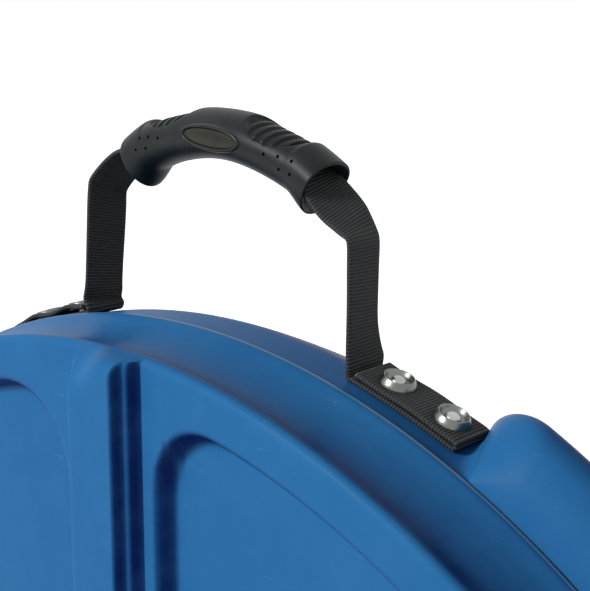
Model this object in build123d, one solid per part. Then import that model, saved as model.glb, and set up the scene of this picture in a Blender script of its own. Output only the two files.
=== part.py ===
from build123d import *
import os
from math import cos, degrees, hypot, radians, sin

# A round moulded cymbal case that stands on its edge. The front faces -Y, +X is the viewer's right,
# and the origin is on the floor under the middle. Shapes are drawn about the disc's centre, which
# save() lifts to its height. Angles run clockwise from the top, as seen from the front. Millimetres.

CENTRE_HEIGHT = 331.0
HALF_DEPTH = 71.0
WALL = 4.5

# Rear shell: bays in its edge hold the handle, latches and hinges, with raised bumpers between them
SEAM_REAR_Y = -19.4
SEAM_LID_Y = -19.9
BAY_R = 301.0
BUMPER_R = 323.7
BUMPER_CREST_Y = -2.0
BUMPER_ROUND = 20.0
BAY_CROWN_Y = 3.2
BAYS = [(-36.0, 23.2), (51.5, 64.5), (78.0, 102.0), (115.5, 128.5), (150.0, 210.0), (258.0, 282.0)]
FLOOR_REAR_Y = 58.5
BACK_FLAT_R = 260.0
CAVITY_R = BAY_R - WALL
TONGUE_R = 298.0
TONGUE_DEPTH = 9.0

# Front shell
LIP_R = 303.5
COVE_R = 299.5
CREST_R = 301.5
RING_Y = 60.0
PANEL_DEPTH = 8.0
PANEL_R = 285.0
BACK_PANEL_R = 240.0
PANEL_SLOPE = 28.0
HUB_R = 80.0
HUB_STEP = 4.0
SPOKE_COUNT = 6
SPOKE_STEP_Y = 65.5
FLOOR_LID_Y = 47.5

# Foam pads
FOAM_REAR_R = 264.0
FOAM_REAR_THICK = 8.0
FOAM_HOLE_R = 34.0
FOAM_LID_R = 278.0
FOAM_LID_THICK = 10.0

# Handle: webbing folded down to two feet, through a moulded grip that has slid to the right along it
WEBBING = 20.0
FOOT_START = 13.7
FOOT_END = 23.1
FOOT_TOP_R = 305.5
SCREW_ANGLES = [16.6, 21.3]
STRAP_SCREW_R = 2.5
PLATE_R = 293.0
PLATE_MARGIN = 2.0
NUT_R = 4.6
NUT_THICK = 5.5
STRAP_THICK = 3.5
UPRIGHT_X = 71.5
UPRIGHT_BEND = 11.0
FOLD_Z = 297.3
GRIP_TOP_Z = 374.4
ARCH_R = 109.5
GRIP_START = -23.0
GRIP_END = 31.4
GRIP_HALF_WIDTH = 14.0
GRIP_HALF_HEIGHT = 10.0
COLLAR = 6.0
COLLAR_RISE = 1.5
BADGE_X = 8.0
BADGE_Z = 374.0
BADGE_TILT = 4.0
BADGE_PROUD = 0.6
BADGE_DEPTH = 4.0
BADGE_OUTER = (16.0, 5.0)
BADGE_INNER = (14.0, 3.6)

# Latches, hinges and standing feet
LATCH_ANGLES = [58.0, 90.0, 122.0]
LATCH_PIVOT_Y = 8.0
LATCH_PIVOT_LIFT = 8.0
LATCH_HALF = 17.0
BRACKET_HALF = 21.0
PIN_R = 2.0
BARREL_R = 4.0
KEEPER_FRONT_Y = -30.5
KEEPER_TOP = 2.3
HINGE_HEIGHTS = [-38.0, 38.0]
HINGE_X = -309.0
HINGE_Y = (SEAM_REAR_Y + SEAM_LID_Y) / 2
LAND_X = -304.5
LAND_HALF = 62.0
LEAF_HALF = 22.0
LEAF_THICK = 2.0
MIDDLE_BARREL_HALF = 7.5
FOOT_X = (90.0, 150.0)
FOOT_HALF_Y = 56.0
FOOT_CLEAR_R = 306.5
FOOT_CORNER = 14.0
PAD_THICK = 4.0

# Cymbal post
FLANGE_R = 28.0
FLANGE_THICK = 5.0
BOSS_R = 12.0
BOSS_END_Y = 40.0
FLANGE_SCREW_CIRCLE_R = 21.0
STUD_R = 4.0
SLEEVE_R = 5.2
SLEEVE_END_Y = -6.0
STUD_END_Y = -33.0
CLAMP_R = 20.0
CLAMP_THICK = 4.0
WING_NUT_R = 8.0
WING_NUT_LENGTH = 8.0
RUNNING = 0.06

os.makedirs("parts", exist_ok=True)


def save(name, shape):
    export_step(Pos(0, 0, CENTRE_HEIGHT) * shape, f"parts/{name}.step")


def block(x, y, z):
    """A box between the two values given on each axis."""
    low, high = zip(x, y, z)
    size = [b - a for a, b in zip(low, high)]
    return Pos(*low) * Box(*size, align=(Align.MIN, Align.MIN, Align.MIN))


def rod(radius, y0, y1, x=0.0, z=0.0):
    """A round bar along the disc's axis."""
    return Pos(x, (y0 + y1) / 2, z) * Rot(90, 0, 0) * Cylinder(radius, abs(y1 - y0))


def turned(points):
    """The solid that a closed outline of (radius, y) points sweeps about the disc's axis."""
    return revolve(make_face(Polyline(*points, close=True)), Axis.Y)


def front(sketch, y):
    """A flat sketch of (x, z), laid at y with its normal towards the front."""
    return Plane.XZ.offset(-y) * sketch


def rim(angle, radius=BAY_R, y=0.0):
    """A place on the edge: X runs along it, Y to the back and Z outwards."""
    a = radians(angle)
    origin = (radius * sin(a), y, radius * cos(a))
    return Plane(origin=origin, x_dir=(cos(a), 0, -sin(a)), z_dir=(sin(a), 0, cos(a))).location


def sector(r_in, r_out, start, end):
    """A flat piece of ring between two angles."""

    def point(radius, angle):
        return (radius * sin(radians(angle)), radius * cos(radians(angle)))

    middle = (start + end) / 2
    outer = ThreePointArc(point(r_out, start), point(r_out, middle), point(r_out, end))
    inner = ThreePointArc(point(r_in, end), point(r_in, middle), point(r_in, start))
    return make_face([outer, Line(outer @ 1, inner @ 0), inner, Line(inner @ 1, outer @ 0)])


def around(shape, count=SPOKE_COUNT):
    """Copies of a flat sketch, evenly turned about the centre."""
    copies = [Rot(0, 0, -360 / count * k) * shape for k in range(count)]
    return Sketch() + copies


# Shared shapes of the two shells


def bumper_outline(inset):
    """The disc with its bays, drawn in by the given amount."""
    widen = degrees(inset / BUMPER_R)
    disc = Circle(BUMPER_R - inset)
    for start, end in BAYS:
        disc -= sector(BAY_R - 6 - inset, BUMPER_R + 40, start - widen, end + widen)
    corners = [v for v in disc.vertices() if hypot(v.X, v.Y) > BUMPER_R - inset - 1]
    return fillet(corners, BUMPER_ROUND - inset)


def panel(r_out):
    """One recessed panel, right of the spoke at the top, with its tighter corner beside that spoke."""
    spoke_side, next_side = 24.0, 23.0
    reach = 2 * r_out
    right_of_spoke = Pos(spoke_side + reach / 2, reach / 2) * Rectangle(reach, 2 * reach)
    before_next = Rot(0, 0, -60) * Pos(-next_side - reach / 2, reach / 2) * Rectangle(reach, 2 * reach)
    shape = (Circle(r_out) - Circle(HUB_R + 8)) & right_of_spoke & before_next
    outer = sorted([v for v in shape.vertices() if hypot(v.X, v.Y) > r_out - 1], key=lambda v: v.X)
    tight = fillet(outer[0], 21)
    outer = sorted([v for v in tight.vertices() if hypot(v.X, v.Y) > r_out - 1], key=lambda v: v.X)
    wide = fillet(outer[-1], 43)
    inner = [v for v in wide.vertices() if hypot(v.X, v.Y) < HUB_R + 9]
    return fillet(inner, 12)


def spoke(half_width, r_out, corner, y_base, y_top, taper, edge_round):
    """The spoke at the top, with sloping walls and its upper left corner swept round."""
    length = r_out - HUB_R + 15
    bar = Pos(0.25, r_out - length / 2) * Rectangle(2 * half_width, length)
    top_left = bar.vertices().sort_by(Axis.Y)[-2:].sort_by(Axis.X)[0]
    solid = extrude(front(fillet(top_left, corner), y_base), amount=y_base - y_top, taper=taper)
    return fillet(solid.faces().sort_by(Axis.Y)[0].edges(), edge_round)


def ring_of(solid):
    """Copies of a solid, evenly turned about the disc's axis."""
    return [Rot(0, 360 / SPOKE_COUNT * k, 0) * solid for k in range(SPOKE_COUNT)]


def panel_pockets(r_out, y, inward):
    """The six pockets, with sloping walls, sunk from y."""
    return extrude(front(around(panel(r_out)), y), amount=-inward, taper=PANEL_SLOPE)


# Rear shell

rear_outer = turned(
    [
        (0, SEAM_REAR_Y),
        (BAY_R, SEAM_REAR_Y),
        (BAY_R, BAY_CROWN_Y),
        (283, 51.5),
        (275, 62.5),
        (BACK_FLAT_R, HALF_DEPTH),
        (0, HALF_DEPTH),
    ]
)
crest = (BUMPER_R, BUMPER_CREST_Y)
bumper_front = ThreePointArc((303, SEAM_REAR_Y), (316, -13.9), crest)
bumper_crown = ThreePointArc(crest, (323.1, 2.3), (321.3, 6.2))
bumper_back = Polyline(bumper_crown @ 1, (300, 40), (287, 59), (272, 67.5), (BACK_FLAT_R, HALF_DEPTH))
bumper_flats = Polyline(bumper_back @ 1, (0, HALF_DEPTH), (0, SEAM_REAR_Y), bumper_front @ 0)
bumper_outer = revolve(make_face([bumper_front, bumper_crown, bumper_back, bumper_flats]), Axis.Y)
bumper_outer &= extrude(front(bumper_outline(0), SEAM_REAR_Y), amount=-2 * HALF_DEPTH)


def standing_block(side, inset, z0, z1):
    """An upright block with rounded corners, on the footprint of one standing foot."""
    width = FOOT_X[1] - FOOT_X[0] - 2 * inset
    footprint = RectangleRounded(width, 2 * (FOOT_HALF_Y - inset), FOOT_CORNER - inset)
    return Pos(side * (FOOT_X[0] + FOOT_X[1]) / 2, 0, z0) * extrude(footprint, amount=z1 - z0)


plinths = []
for side in (-1, 1):
    foot = standing_block(side, 0, PAD_THICK - CENTRE_HEIGHT, -255)
    plinths.append(foot - rod(FOOT_CLEAR_R, -FOOT_HALF_Y - 1, SEAM_REAR_Y))

rear_land = block((LAND_X, -280), (SEAM_REAR_Y, 16), (-LAND_HALF, LAND_HALF))
rear_solid = rear_outer + bumper_outer + rear_land + plinths[0] + plinths[1]

rear_cavity = turned(
    [
        (0, SEAM_REAR_Y - 1),
        (CAVITY_R, SEAM_REAR_Y - 1),
        (CAVITY_R, BAY_CROWN_Y - 1),
        (279, 49.5),
        (258, HALF_DEPTH - WALL),
        (250, HALF_DEPTH - WALL),
        (246, FLOOR_REAR_Y),
        (0, FLOOR_REAR_Y),
    ]
)
bumper_cavity = turned(
    [
        (250, SEAM_REAR_Y + WALL),
        (303, SEAM_REAR_Y + WALL),
        (312.5, -10),
        (318.5, -3),
        (316.5, 4),
        (295.5, 38),
        (283, 57),
        (250, 60),
    ]
)
bumper_cavity &= extrude(front(bumper_outline(WALL), SEAM_REAR_Y), amount=-2 * HALF_DEPTH)
back_channel = block((-9, 9), (FLOOR_REAR_Y - 1, HALF_DEPTH - WALL), (95, 235))
back_pockets = mirror(panel_pockets(BACK_PANEL_R, -HALF_DEPTH, PANEL_DEPTH), Plane.XZ)
tongue = turned(
    [
        (TONGUE_R - WALL, SEAM_REAR_Y - TONGUE_DEPTH),
        (TONGUE_R, SEAM_REAR_Y - TONGUE_DEPTH),
        (TONGUE_R, SEAM_REAR_Y + 8),
        (TONGUE_R - WALL, SEAM_REAR_Y + 8),
    ]
)
rear_shell = rear_solid - rear_cavity - bumper_cavity - ring_of(back_channel) - back_pockets + tongue

# Front shell

cove = ThreePointArc((LIP_R, SEAM_LID_Y - 2), (COVE_R, -42), (CREST_R, 2 - RING_Y))
lid_edge = make_face(
    [
        cove,
        Polyline(cove @ 1, (CREST_R - 2, -RING_Y), (0, -RING_Y), (0, SEAM_LID_Y)),
        Polyline((0, SEAM_LID_Y), (LIP_R, SEAM_LID_Y), cove @ 0),
    ]
)
lid_solid = revolve(lid_edge, Axis.Y)
lid_solid += block((LAND_X, -280), (-52, SEAM_LID_Y), (-LAND_HALF, LAND_HALF))
lower_spoke = spoke(15.25, 299, 28, 2 - RING_Y, -SPOKE_STEP_Y, 12, 1.5)
upper_spoke = spoke(12.25, 297, 22, 0.5 - SPOKE_STEP_Y, -HALF_DEPTH, 15, 2.5)
hub = rod(HUB_R, -SPOKE_STEP_Y, 2 - RING_Y) + rod(HUB_R - HUB_STEP, -HALF_DEPTH, 0.5 - SPOKE_STEP_Y)
hub -= rod(HUB_R - 20, -HALF_DEPTH - 1, -HALF_DEPTH + 3)
lid_cavity = turned(
    [
        (0, SEAM_LID_Y + 1),
        (LIP_R - WALL, SEAM_LID_Y + 1),
        (LIP_R - WALL, -29.5),
        (295, -34),
        (295, -52),
        (292, WALL - RING_Y),
        (289, WALL - RING_Y),
        (281, -FLOOR_LID_Y),
        (0, -FLOOR_LID_Y),
    ]
)
spoke_channel = block((-7.5, 8), (WALL - HALF_DEPTH, 1 - FLOOR_LID_Y), (40, 288))
hub_channel = rod(HUB_R - 10, 3 - HALF_DEPTH + WALL, 1 - FLOOR_LID_Y)
front_pockets = panel_pockets(PANEL_R, -RING_Y, PANEL_DEPTH)
front_shell = lid_solid - front_pockets + ring_of(lower_spoke) + ring_of(upper_spoke) + hub
front_shell = front_shell - lid_cavity - ring_of(spoke_channel) - hub_channel

# Foam inside both shells, with a hole for the post

rear_foam_pad = rod(FOAM_REAR_R, FLOOR_REAR_Y - FOAM_REAR_THICK, FLOOR_REAR_Y)
rear_foam_pad -= rod(FOAM_HOLE_R, 0, FLOOR_REAR_Y + 1)
front_foam_pad = rod(FOAM_LID_R, -FLOOR_LID_Y, FOAM_LID_THICK - FLOOR_LID_Y)

# Cymbal post: a screwed-down flange, a threaded stud with a soft sleeve, a clamp washer and a wing nut

flange_face_y = FLOOR_REAR_Y - FLANGE_THICK
post_flange = rod(FLANGE_R, flange_face_y, FLOOR_REAR_Y) + rod(BOSS_R, BOSS_END_Y, FLOOR_REAR_Y)
post_flange -= rod(STUD_R, BOSS_END_Y - 10, FLOOR_REAR_Y + 1)
post_stud = rod(STUD_R, STUD_END_Y, FLOOR_REAR_Y)
post_sleeve = rod(SLEEVE_R, SLEEVE_END_Y, BOSS_END_Y) - rod(STUD_R, SLEEVE_END_Y - 1, BOSS_END_Y + 1)
post_screws = []
for turn in range(45, 360, 90):
    x = FLANGE_SCREW_CIRCLE_R * cos(radians(turn))
    z = FLANGE_SCREW_CIRCLE_R * sin(radians(turn))
    head = rod(4.5, flange_face_y - 2.5, flange_face_y, x, z)
    post_screws.append(head + rod(2.5, flange_face_y - 1, FLOOR_REAR_Y + 8, x, z))
for screw in post_screws:
    post_flange -= screw
    rear_shell -= screw
clamp_back_y = SLEEVE_END_Y - 1
nut_y = clamp_back_y - CLAMP_THICK
clamp_washer = rod(CLAMP_R, nut_y, clamp_back_y) - rod(STUD_R + 0.4, nut_y - 1, 0)
wing = extrude(front(Ellipse(20, 5), nut_y - 1), amount=6)
wing_nut = rod(WING_NUT_R, nut_y - WING_NUT_LENGTH, nut_y) + wing
wing_nut -= rod(STUD_R + RUNNING, nut_y - 2 * WING_NUT_LENGTH, nut_y + 1)

# Strap feet, their cup washers and screws, and the plate and nuts inside


def cup_washer():
    """A dished washer with a rolled edge, about a 5 mm screw."""
    outline = Polyline((2.5, 0), (7, 0), (7, 1), (6, 2), (4.6, 2.2), (3.6, 1.4), (2.5, 1.4), close=True)
    return revolve(Plane.XZ * make_face(outline), Axis.Z)


def strap_screw():
    """A domed screw, long enough to pass the strap, the shell and the plate inside."""
    up = (Align.CENTER, Align.CENTER, Align.MIN)
    dome = Pos(0, 0, -0.5) * Sphere(3.9) & Pos(0, 0, 1.4) * Cylinder(4, 3, align=up)
    shank = Pos(0, 0, -16) * Cylinder(STRAP_SCREW_R, 17.5, align=up)
    return dome + shank


foot_lift = FOOT_TOP_R - BAY_R
strap_feet = {}
cup_washers = []
strap_screws = []
strap_nuts = []
backing_plates = []
for name, side in (("left", -1), ("right", 1)):
    ends = sorted([side * FOOT_START, side * FOOT_END])
    stack = extrude(front(sector(BAY_R - 5, FOOT_TOP_R, *ends), -WEBBING / 2), amount=-WEBBING)
    foot = stack - rear_outer
    plate_half = WEBBING / 2 - PLATE_MARGIN
    plate = extrude(front(sector(PLATE_R, CAVITY_R + 1, *ends), -plate_half), amount=-2 * plate_half)
    plate &= rear_cavity
    for angle in SCREW_ANGLES:
        place = rim(side * angle)
        cup_washers.append(place * Pos(0, 0, foot_lift) * cup_washer())
        screw = place * Pos(0, 0, foot_lift) * strap_screw()
        nut = place * Pos(0, 0, -13) * extrude(RegularPolygon(NUT_R, 6), amount=NUT_THICK)
        strap_screws.append(screw)
        strap_nuts.append(nut - plate - screw)
        foot -= screw
        rear_shell -= screw
        plate -= screw
    strap_feet[name] = foot
    backing_plates.append(plate)

# Grip and the webbing through it


def arch(section, start, end):
    """A section swept along the grip's arch, with X across the grip and Y away from the centre."""
    a = radians(start)
    centre_z = GRIP_TOP_Z - ARCH_R
    origin = (ARCH_R * sin(a), 0, centre_z + ARCH_R * cos(a))
    plane = Plane(origin=origin, x_dir=(0, 1, 0), z_dir=(cos(a), 0, -sin(a)))
    return revolve(plane * section, Axis((0, 0, centre_z), (0, 1, 0)), end - start)


strap_section = Rectangle(WEBBING, STRAP_THICK)
collar_section = Ellipse(GRIP_HALF_WIDTH + COLLAR_RISE, GRIP_HALF_HEIGHT + COLLAR_RISE)
grip_body = arch(Ellipse(GRIP_HALF_WIDTH, GRIP_HALF_HEIGHT), GRIP_START, GRIP_END)
grip_body += arch(collar_section, GRIP_START, GRIP_START + COLLAR)
grip_body += arch(collar_section, GRIP_END - COLLAR, GRIP_END)
strap_core = arch(strap_section, GRIP_START, GRIP_END)
grip_body -= strap_core

badge_place = Pos(BADGE_X, 0, BADGE_Z) * Rot(0, BADGE_TILT, 0)
badge_back_y = BADGE_DEPTH - GRIP_HALF_WIDTH - BADGE_PROUD
badge_oval = badge_place * extrude(front(Ellipse(*BADGE_OUTER), badge_back_y), amount=BADGE_DEPTH)
badge_inside = badge_place * extrude(front(Ellipse(*BADGE_INNER), badge_back_y), amount=BADGE_DEPTH + 1)
badge_frame = badge_oval - badge_inside
badge_plate = badge_place * extrude(front(Ellipse(*BADGE_INNER), badge_back_y), amount=0.8 * BADGE_DEPTH)
grip_body = grip_body - badge_oval



def grip_end(angle):
    """Where the webbing leaves the grip, as (x, z)."""
    return (ARCH_R * sin(radians(angle)), GRIP_TOP_Z - ARCH_R + ARCH_R * cos(radians(angle)))


def strap_upright(*route):
    """The webbing from the grip's end down to the fold at its foot, along a route of (x, z) points."""
    flat = trace(FilletPolyline(*route, radius=UPRIGHT_BEND), STRAP_THICK)
    band = extrude(front(flat, -WEBBING / 2), amount=-WEBBING)
    band -= rod(FOOT_TOP_R + 0.3, -HALF_DEPTH, HALF_DEPTH)
    return band - arch(Rectangle(4 * WEBBING, 10 * STRAP_THICK), GRIP_START, GRIP_END)


strap_uprights = {
    "right": strap_upright(grip_end(GRIP_END), (UPRIGHT_X, 349.6), (UPRIGHT_X, FOLD_Z - 4)),
    "left": strap_upright(grip_end(GRIP_START), (-62, 355.5), (-UPRIGHT_X, 343.5), (-UPRIGHT_X, FOLD_Z - 4)),
}

# Latches: a riveted bracket with a pin on the rear shell, a lever that snaps over a keeper on the lid

latch_brackets = []
latch_pins = []
latch_levers = []
latch_keepers = []
bracket_rivets = []
keeper_rivets = []


def cross_bar(radius, half_length, y, z):
    """A round bar along the edge's own direction."""
    return Pos(0, y, z) * Rot(0, 90, 0) * Cylinder(radius, 2 * half_length)


def rivet(head_z, x, y, length=8.0):
    """A flat-domed rivet whose head rests at head_z."""
    up = (Align.CENTER, Align.CENTER, Align.MIN)
    head = Pos(x, y, head_z) * Cylinder(3, 1.2, align=up)
    return head + Pos(x, y, head_z - length) * Cylinder(1.6, length + 0.5, align=up)


for angle in LATCH_ANGLES:
    place = rim(angle)
    pin = cross_bar(PIN_R, BRACKET_HALF, LATCH_PIVOT_Y, LATCH_PIVOT_LIFT)
    bracket = block((-BRACKET_HALF, BRACKET_HALF), (-12, 15), (-6, 3))
    for side in (-1, 1):
        x_range = sorted((side * (LATCH_HALF + 0.6), side * BRACKET_HALF))
        bracket += block(x_range, (2, 14), (0, 12))
    bracket -= pin
    rivets = [rivet(3, side * 11, -7) for side in (-1, 1)]
    bracket = place * bracket - rear_outer
    for r in rivets:
        shape = place * r
        bracket -= shape
        rear_shell -= shape
        bracket_rivets.append(shape)
    latch_brackets.append(bracket)
    latch_pins.append(place * pin)

    plate = block((-LATCH_HALF, LATCH_HALF), (-40, LATCH_PIVOT_Y), (5.5, 9.5))
    hook = block((-LATCH_HALF, LATCH_HALF), (-35, KEEPER_FRONT_Y - 0.5), (KEEPER_TOP, 9.5))
    knuckle = cross_bar(BARREL_R, LATCH_HALF, LATCH_PIVOT_Y, LATCH_PIVOT_LIFT)
    lever = plate + hook + knuckle
    lever -= cross_bar(PIN_R + RUNNING, LATCH_HALF + 1, LATCH_PIVOT_Y, LATCH_PIVOT_LIFT)
    latch_levers.append(place * lever)

    keeper = block((-20, 20), (KEEPER_FRONT_Y, -21.5), (-6, KEEPER_TOP))
    keeper += block((-LATCH_HALF, LATCH_HALF), (KEEPER_FRONT_Y, -27), (0, 5))
    keeper = place * keeper - lid_solid
    for side in (-1, 1):
        shape = place * rivet(KEEPER_TOP, side * 12, -24.2, 4.2)
        keeper -= shape
        front_shell -= shape
        keeper_rivets.append(shape)
    latch_keepers.append(keeper)

# Hinges: two leaves about a pin, riveted to a flat land on each shell

LEAF = (LAND_X - LEAF_THICK, LAND_X)
hinge_leaves_rear = []
hinge_leaves_front = []
hinge_pins = []
hinge_rivets_rear = []
hinge_rivets_front = []


def knuckle_at(z0, z1, bore):
    """One barrel of a hinge about its pin."""
    middle = Pos(HINGE_X, HINGE_Y, (z0 + z1) / 2)
    return middle * (Cylinder(BARREL_R, z1 - z0) - Cylinder(bore, z1 - z0 + 1))


def land_rivet(y, z):
    """A rivet through a hinge leaf, with its head outwards."""
    return Pos(LEAF[0], y, z) * Rot(0, -90, 0) * rivet(0, 0, 0)


for height in HINGE_HEIGHTS:
    leaf_range = (height - LEAF_HALF, height + LEAF_HALF)
    middle_range = (height - MIDDLE_BARREL_HALF, height + MIDDLE_BARREL_HALF)
    rear_leaf = block(LEAF, (-15.2, 14), leaf_range)
    for z0, z1 in ((-LEAF_HALF, -8), (8, LEAF_HALF)):
        rear_leaf += block(LEAF, (HINGE_Y, -15.2), (height + z0, height + z1))
        rear_leaf -= Pos(HINGE_X, HINGE_Y, height) * Cylinder(PIN_R, 60)
        rear_leaf += knuckle_at(height + z0, height + z1, PIN_R)
    front_leaf = block(LEAF, (-50, -24.1), leaf_range)
    front_leaf += block(LEAF, (-24.1, HINGE_Y), middle_range)
    front_leaf += knuckle_at(*middle_range, PIN_R + RUNNING)
    for side in (-1, 1):
        rear_rivet = land_rivet(4, height + 13 * side)
        front_rivet = land_rivet(-38, height + 13 * side)
        rear_leaf -= rear_rivet
        front_leaf -= front_rivet
        rear_shell -= rear_rivet
        front_shell -= front_rivet
        hinge_rivets_rear.append(rear_rivet)
        hinge_rivets_front.append(front_rivet)
    hinge_leaves_rear.append(rear_leaf)
    hinge_leaves_front.append(front_leaf)
    hinge_pins.append(Pos(HINGE_X, HINGE_Y, height) * Cylinder(PIN_R, 2 * LEAF_HALF + 2))

# Soft pads under the two standing feet

standing_pads = []
for side in (-1, 1):
    standing_pads.append(standing_block(side, 2, -CENTRE_HEIGHT, PAD_THICK - CENTRE_HEIGHT))

single_pieces = {
    "rear_shell": rear_shell,
    "front_shell": front_shell,
    "rear_foam_pad": rear_foam_pad,
    "front_foam_pad": front_foam_pad,
    "post_flange": post_flange,
    "post_stud": post_stud,
    "post_sleeve": post_sleeve,
    "clamp_washer": clamp_washer,
    "wing_nut": wing_nut,
    "grip_body": grip_body,
    "badge_frame": badge_frame,
    "badge_plate": badge_plate,
    "strap_core": strap_core,
    "strap_foot_left": strap_feet["left"],
    "strap_foot_right": strap_feet["right"],
    "strap_upright_left": strap_uprights["left"],
    "strap_upright_right": strap_uprights["right"],
    "latch_lever_upper": latch_levers[0],
    "latch_lever_middle": latch_levers[1],
    "latch_lever_lower": latch_levers[2],
}
grouped_pieces = {
    "post_screws": post_screws,
    "cup_washers": cup_washers,
    "strap_screws": strap_screws,
    "strap_nuts": strap_nuts,
    "backing_plates": backing_plates,
    "latch_brackets": latch_brackets,
    "latch_pins": latch_pins,
    "latch_keepers": latch_keepers,
    "bracket_rivets": bracket_rivets,
    "keeper_rivets": keeper_rivets,
    "hinge_leaves_rear": hinge_leaves_rear,
    "hinge_leaves_front": hinge_leaves_front,
    "hinge_pins": hinge_pins,
    "hinge_rivets_rear": hinge_rivets_rear,
    "hinge_rivets_front": hinge_rivets_front,
    "standing_pads": standing_pads,
}
for name, piece in single_pieces.items():
    save(name, piece)
for name, pieces in grouped_pieces.items():
    solids = [solid for piece in pieces for solid in piece.solids()]
    save(name, Compound(children=solids))
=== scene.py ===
import math

import bpy
import numpy as np
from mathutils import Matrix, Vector


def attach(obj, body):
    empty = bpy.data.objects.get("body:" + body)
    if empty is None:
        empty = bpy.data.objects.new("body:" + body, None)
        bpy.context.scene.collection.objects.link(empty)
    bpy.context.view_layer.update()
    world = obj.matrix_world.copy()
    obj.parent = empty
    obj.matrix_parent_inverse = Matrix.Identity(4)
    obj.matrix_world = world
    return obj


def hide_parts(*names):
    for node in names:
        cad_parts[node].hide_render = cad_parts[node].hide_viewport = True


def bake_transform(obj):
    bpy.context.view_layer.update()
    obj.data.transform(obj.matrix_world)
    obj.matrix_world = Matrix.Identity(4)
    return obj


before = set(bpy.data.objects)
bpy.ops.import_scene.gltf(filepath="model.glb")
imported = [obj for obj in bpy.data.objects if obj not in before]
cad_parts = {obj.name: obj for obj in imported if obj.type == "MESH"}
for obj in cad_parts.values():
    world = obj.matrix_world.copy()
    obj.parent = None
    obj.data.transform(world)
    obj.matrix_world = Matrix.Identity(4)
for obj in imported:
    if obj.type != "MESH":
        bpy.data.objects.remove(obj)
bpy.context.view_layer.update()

# Rear shell
# The half that carries the handle, latches, hinges and post: one rotomoulded piece in blue polyethylene.
# Its edge has bays for the fittings and raised bumpers between them, and its back has six sunk panels.
AXIS_HEIGHT = 0.331
BAY_RADIUS = 0.301
BUMPER_RISE = 0.0227
BAYS = [(-36.0, 23.3), (51.5, 64.5), (78.0, 102.0), (115.5, 128.5), (150.0, 210.0), (258.0, 282.0)]
SHOULDER_ROUND = 0.0177
BAY_FILLET = 0.0050
HINGE_LAND_X = 0.3045
HINGE_LAND_HALF = 0.062
REAR_LAND_DEPTHS = (-0.0235, 0.0175)
LAND_END_ANGLES = [(258.8, 260.2), (279.8, 281.2)]
BACK_Y = 0.071
BACK_SEAM_RADIUS = 0.252
BACK_PANEL_RADIUS = 0.240
PANEL_DEPTH = 0.008
PANEL_WALL = 0.0052
SPOKE_SIDE = 0.024
NEXT_SIDE = 0.023
TIGHT_CORNER = 0.031
WIDE_CORNER = 0.043
HUB_RADIUS = 0.080
HUB_GAP = 0.008
HUB_CORNER = 0.012
SECTOR = math.radians(60)

# The ends of the handle's bay slant: by these degrees to the metre, either side of this depth and no
# further than this reach, around these two angles
BAY_SLANT = 100.0
BAY_SLANT_MIDDLE = 0.008
BAY_SLANT_REACH = (-0.008, 0.028)
BAY_SLANT_ENDS = (-38.0, 25.0)
BAY_SLANT_SPREAD = 5.0


def deselect_all():
    """Nothing stays selected, so that the next operator acts on the new piece alone."""
    bpy.ops.object.select_all(action="DESELECT")


def ease(value):
    """0 below 0, 1 above 1 and a smooth S between them."""
    t = np.clip(value, 0.0, 1.0)
    return t * t * (3.0 - 2.0 * t)


def ring_place(radius, angle, y):
    """Points at a radius from the case's axis, at an angle clockwise from the top, at depth y."""
    x = radius * np.sin(angle)
    z = AXIS_HEIGHT + radius * np.cos(angle)
    return np.stack(np.broadcast_arrays(x, y, z), axis=-1)


def skin(name, points, smooth_angle=50.0):
    """A flat grid whose rows and columns are laid on the given rows of points, with its seams closed."""
    rows, columns = points.shape[:2]
    deselect_all()
    bpy.ops.mesh.primitive_grid_add(x_subdivisions=columns - 1, y_subdivisions=rows - 1, size=2)
    piece = bpy.context.object
    piece.name = name
    piece.data.name = name
    flat = np.zeros(rows * columns * 3)
    piece.data.vertices.foreach_get("co", flat)
    places = (flat.reshape(-1, 3)[:, :2] + 1) / 2
    column, row = np.rint(places * (columns - 1, rows - 1)).astype(int).T
    piece.data.vertices.foreach_set("co", points[row, column].ravel())
    piece.data.update()
    bpy.ops.object.mode_set(mode="EDIT")
    bpy.ops.mesh.select_all(action="SELECT")
    bpy.ops.mesh.remove_doubles(threshold=0.000002)
    bpy.ops.mesh.normals_make_consistent(inside=False)
    bpy.ops.object.mode_set(mode="OBJECT")
    bpy.ops.object.shade_smooth_by_angle(angle=math.radians(smooth_angle))
    return piece


def corner_distance(first, second, radius):
    """How far a point lies outside a corner of two sides, with that corner rounded."""
    a = first + radius
    b = second + radius
    return np.minimum(np.maximum(a, b), 0.0) + np.hypot(np.maximum(a, 0.0), np.maximum(b, 0.0)) - radius


def panel_outside(beside, reach, outer_radius, flip):
    """How far a point lies outside the nearest of the six panels. beside is its distance from the
    middle of the nearest spoke, to the right, and flip turns the tight and wide corners about."""
    right = np.where(beside * flip > 0, SPOKE_SIDE, NEXT_SIDE)
    corner = np.where(beside * flip > 0, TIGHT_CORNER, WIDE_CORNER)
    side = right - np.abs(beside)
    outer = corner_distance(side, reach - outer_radius, corner)
    inner = corner_distance(side, HUB_RADIUS + HUB_GAP - reach, HUB_CORNER)
    return np.maximum(outer, inner)


def sector_columns(offsets, between):
    """The columns of one sector, as distances beside its spoke, then as shares of the way on to
    the middle of the panel. Both halves are alike."""
    shares = (np.arange(1, between + 1) / between) ** 1.3
    half = [(offset, 0.0) for offset in offsets] + [(offsets[-1], share) for share in shares]
    left = [(-offset, share) for offset, share in reversed(half[1:-1])]
    return np.array(left + half)


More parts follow.
